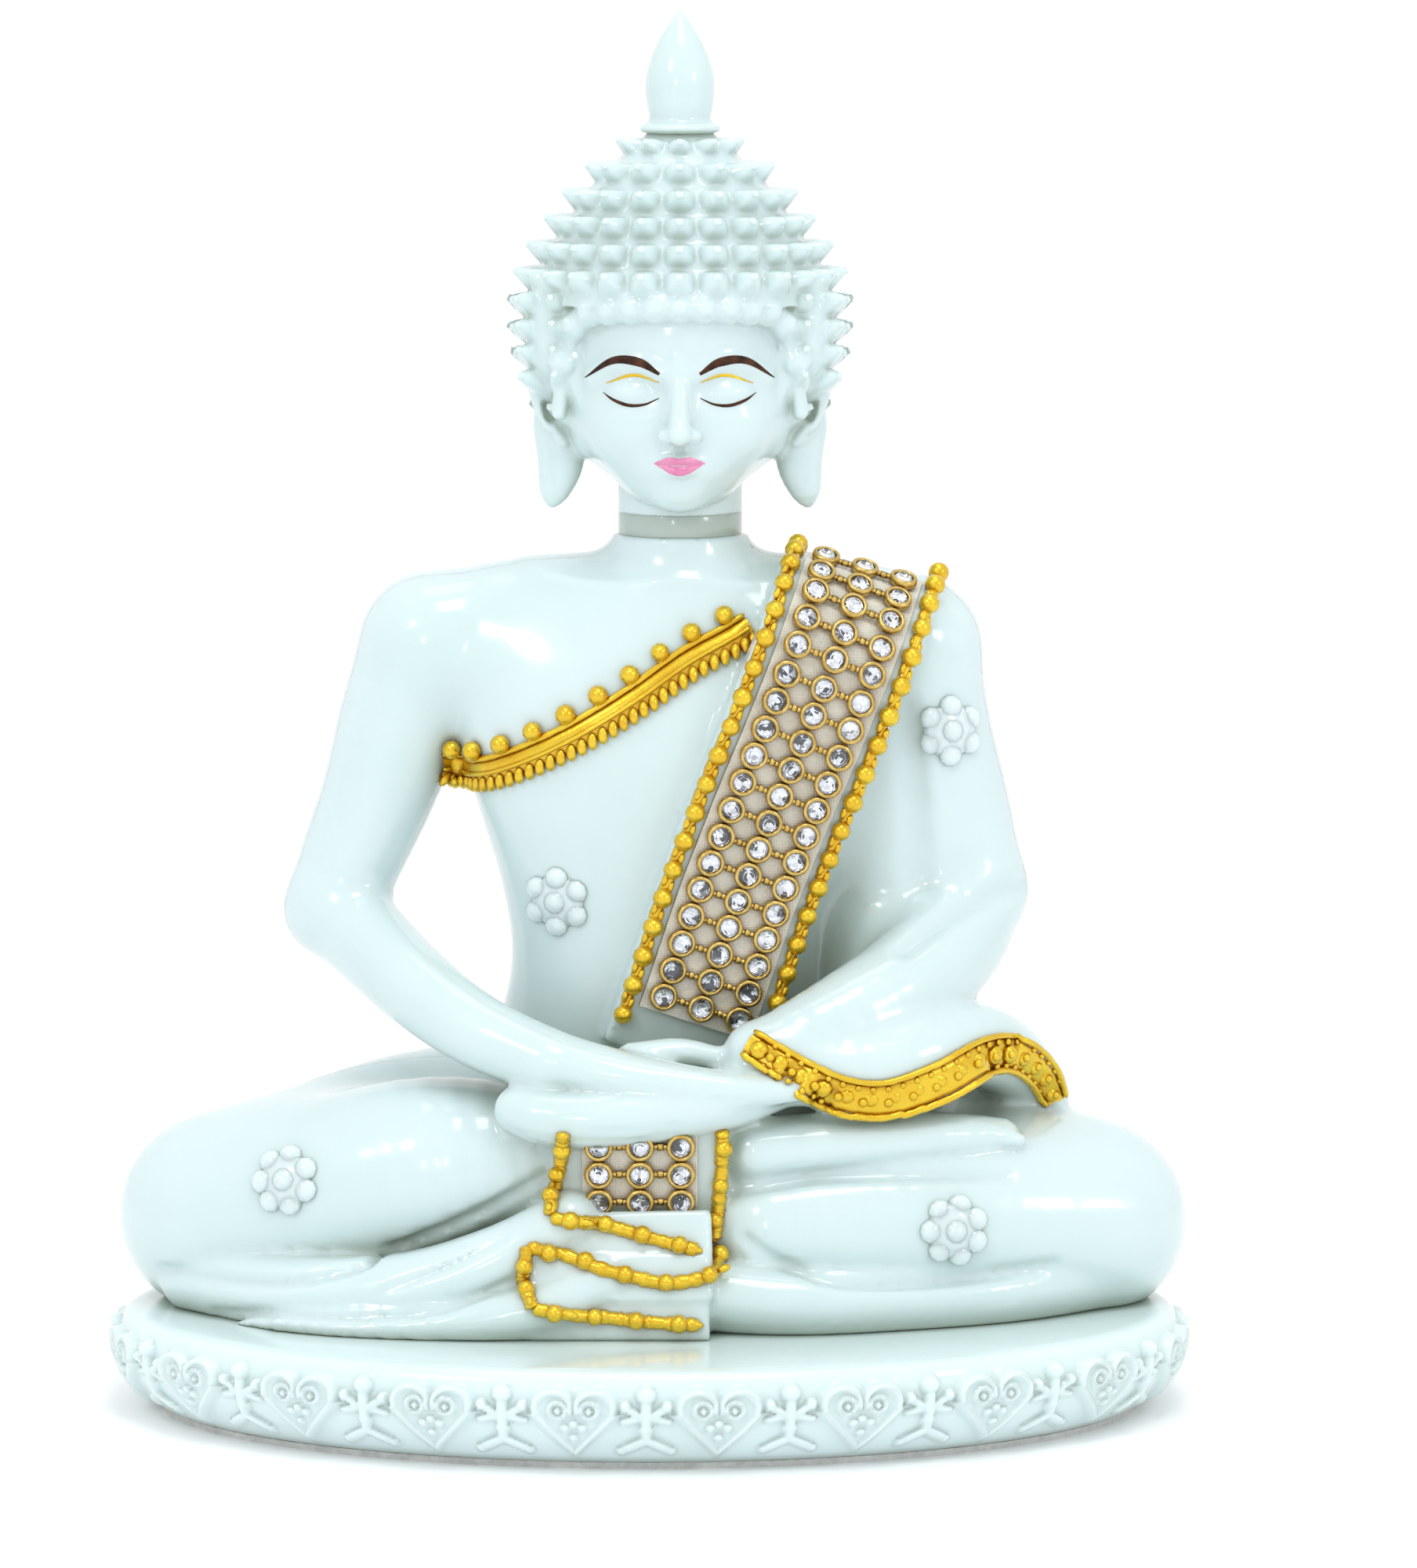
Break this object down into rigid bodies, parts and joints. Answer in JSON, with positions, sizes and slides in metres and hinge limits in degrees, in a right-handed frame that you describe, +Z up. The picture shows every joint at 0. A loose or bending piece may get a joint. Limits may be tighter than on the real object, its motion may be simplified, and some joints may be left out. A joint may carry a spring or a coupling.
{
  "type": "seated buddha ornament",
  "caption": "Cross-legged meditating figure on an oval plinth with heart relief, bell-shaped curled hair, flame finial, beaded gold hems and a sash of glass stones.",
  "frame": {"origin": "centre of the underside of the felt pad, on the surface that the ornament stands on", "axes": "+Z up, -Y is the way the figure faces, +X is to the right of someone looking at its face"},
  "size_m": [0.14, 0.0886, 0.18],
  "materials": {
    "ivory": "glossy milky white moulded plastic with a cool tint",
    "milky": "translucent milky plastic",
    "gold_paint": "bright gold paint, satin, darker in the recesses",
    "brow_paint": "dark brown glossy paint",
    "lip_paint": "pink glossy paint",
    "backing": "thin beige-grey mesh strip",
    "brass": "pressed brass, aged in the corners",
    "stone_glass": "cut clear glass with a silver foil back",
    "felt": "pale grey felt"
  },
  "bodies": {
    "root": {"plinth": "ivory", "bottom_plate": "ivory", "felt_pad": "felt", "body_front": "ivory", "body_back": "ivory", "neck_sleeve": "milky", "head_front": "ivory", "head_back": "ivory", "finial": "ivory", "chest_backing": "backing", "chest_cups": "brass", "chest_stones": "stone_glass", "lap_backing": "backing", "lap_cups": "brass", "lap_stones": "stone_glass"}
  },
  "joints": []
}
